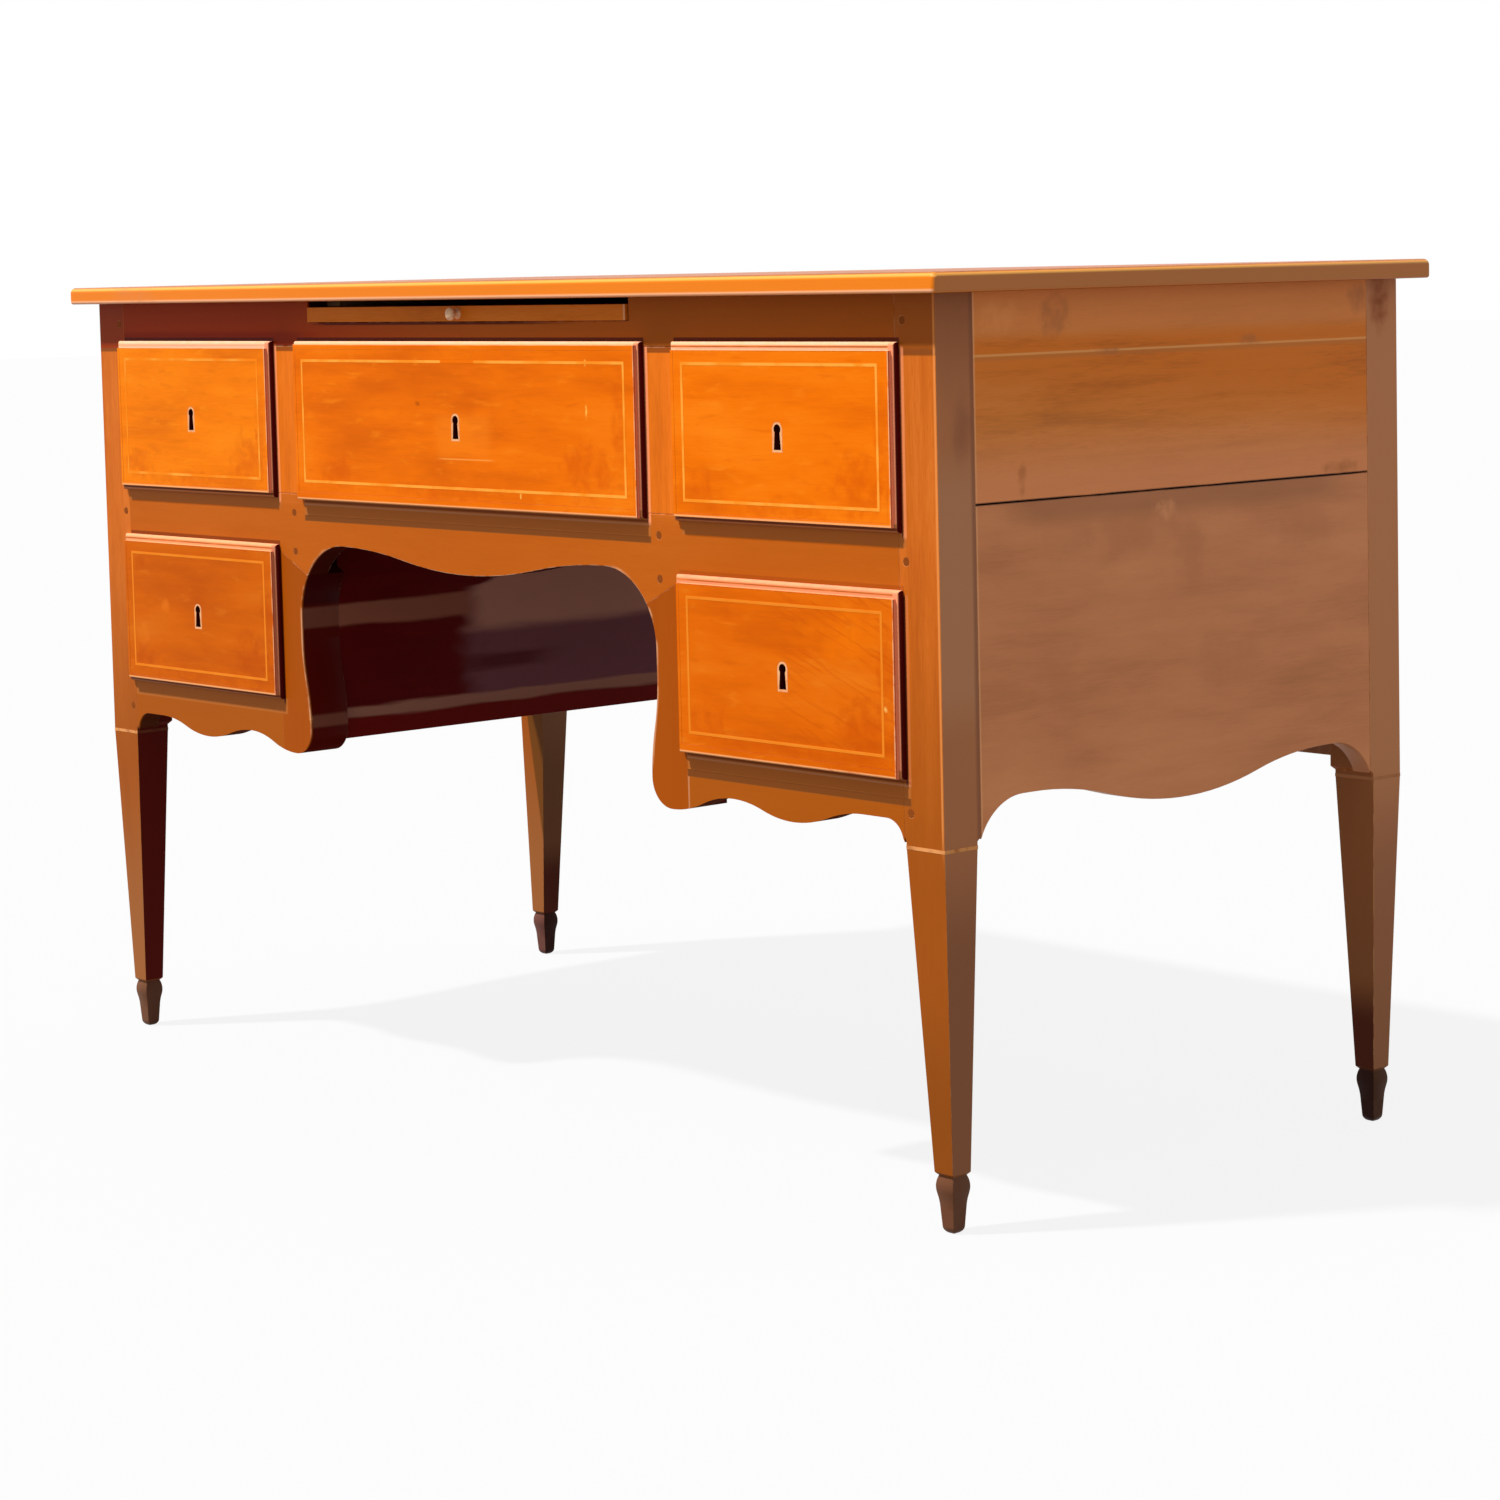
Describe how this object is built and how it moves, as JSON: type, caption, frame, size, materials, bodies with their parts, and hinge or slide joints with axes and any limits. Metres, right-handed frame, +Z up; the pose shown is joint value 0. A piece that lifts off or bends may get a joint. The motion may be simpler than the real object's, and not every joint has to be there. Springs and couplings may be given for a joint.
{
  "type": "kneehole writing desk",
  "caption": "Antique kneehole writing desk with lipped drawers, arched apron, pull-out writing slide and square tapered legs ending in small vase feet.",
  "frame": {"origin": "on the floor under the middle of the top", "axes": "+Z up, +X to the right of someone facing the front, front face towards -Y"},
  "size_m": [1.29, 0.62, 0.78],
  "materials": {
    "carcass_walnut": "waxed and French polished",
    "drawer_front_walnut": "French polished",
    "inner_softwood": "bare planed wood",
    "peg_oak": "darkened end grain",
    "liner_boxwood": "polished",
    "lock_iron": "old blackened iron",
    "knob_brass": "worn"
  },
  "bodies": {
    "carcass": {"desk_top": "carcass_walnut", "front_left_leg": "carcass_walnut", "front_right_leg": "carcass_walnut", "back_left_leg": "carcass_walnut", "back_right_leg": "carcass_walnut", "front_top_rail": "carcass_walnut", "front_cross_rail": "carcass_walnut", "left_muntin": "carcass_walnut", "right_muntin": "carcass_walnut", "left_knee_stile": "carcass_walnut", "right_knee_stile": "carcass_walnut", "left_bottom_rail": "carcass_walnut", "right_bottom_rail": "carcass_walnut", "left_side_upper_board": "carcass_walnut", "left_side_lower_board": "carcass_walnut", "right_side_upper_board": "carcass_walnut", "right_side_lower_board": "carcass_walnut", "left_inner_panel": "carcass_walnut", "right_inner_panel": "carcass_walnut", "left_back_stile": "carcass_walnut", "right_back_stile": "carcass_walnut", "left_back_panel": "carcass_walnut", "right_back_panel": "carcass_walnut", "back_knee_apron": "carcass_walnut", "drawer_runners": "inner_softwood", "drawer_guides": "inner_softwood", "slide_guides": "inner_softwood", "frame_pegs": "peg_oak"},
    "writing_slide": {"writing_slide": "carcass_walnut", "slide_knob": "knob_brass"},
    "left_top_drawer": {"left_top_drawer_front": "drawer_front_walnut", "left_top_drawer_sides": "inner_softwood", "left_top_drawer_back": "inner_softwood", "left_top_drawer_bottom": "inner_softwood", "left_top_drawer_lock": "lock_iron", "left_top_drawer_escutcheon": "liner_boxwood"},
    "left_lower_drawer": {"left_lower_drawer_front": "drawer_front_walnut", "left_lower_drawer_sides": "inner_softwood", "left_lower_drawer_back": "inner_softwood", "left_lower_drawer_bottom": "inner_softwood", "left_lower_drawer_lock": "lock_iron", "left_lower_drawer_escutcheon": "liner_boxwood"},
    "centre_drawer": {"centre_drawer_front": "drawer_front_walnut", "centre_drawer_sides": "inner_softwood", "centre_drawer_back": "inner_softwood", "centre_drawer_bottom": "inner_softwood", "centre_drawer_lock": "lock_iron", "centre_drawer_escutcheon": "liner_boxwood"},
    "right_top_drawer": {"right_top_drawer_front": "drawer_front_walnut", "right_top_drawer_sides": "inner_softwood", "right_top_drawer_back": "inner_softwood", "right_top_drawer_bottom": "inner_softwood", "right_top_drawer_lock": "lock_iron", "right_top_drawer_escutcheon": "liner_boxwood"},
    "right_lower_drawer": {"right_lower_drawer_front": "drawer_front_walnut", "right_lower_drawer_sides": "inner_softwood", "right_lower_drawer_back": "inner_softwood", "right_lower_drawer_bottom": "inner_softwood", "right_lower_drawer_lock": "lock_iron", "right_lower_drawer_escutcheon": "liner_boxwood"}
  },
  "joints": [
    {"name": "left_top_drawer_slide", "type": "slide", "parent": "carcass", "child": "left_top_drawer", "axis": [0, -1, 0], "range_m": [0, 0.36]},
    {"name": "left_lower_drawer_slide", "type": "slide", "parent": "carcass", "child": "left_lower_drawer", "axis": [0, -1, 0], "range_m": [0, 0.36]},
    {"name": "centre_drawer_slide", "type": "slide", "parent": "carcass", "child": "centre_drawer", "axis": [0, -1, 0], "range_m": [0, 0.36]},
    {"name": "right_top_drawer_slide", "type": "slide", "parent": "carcass", "child": "right_top_drawer", "axis": [0, -1, 0], "range_m": [0, 0.36]},
    {"name": "right_lower_drawer_slide", "type": "slide", "parent": "carcass", "child": "right_lower_drawer", "axis": [0, -1, 0], "range_m": [0, 0.36]},
    {"name": "writing_slide_pull", "type": "slide", "parent": "carcass", "child": "writing_slide", "axis": [0, -1, 0], "range_m": [0, 0.3]}
  ]
}
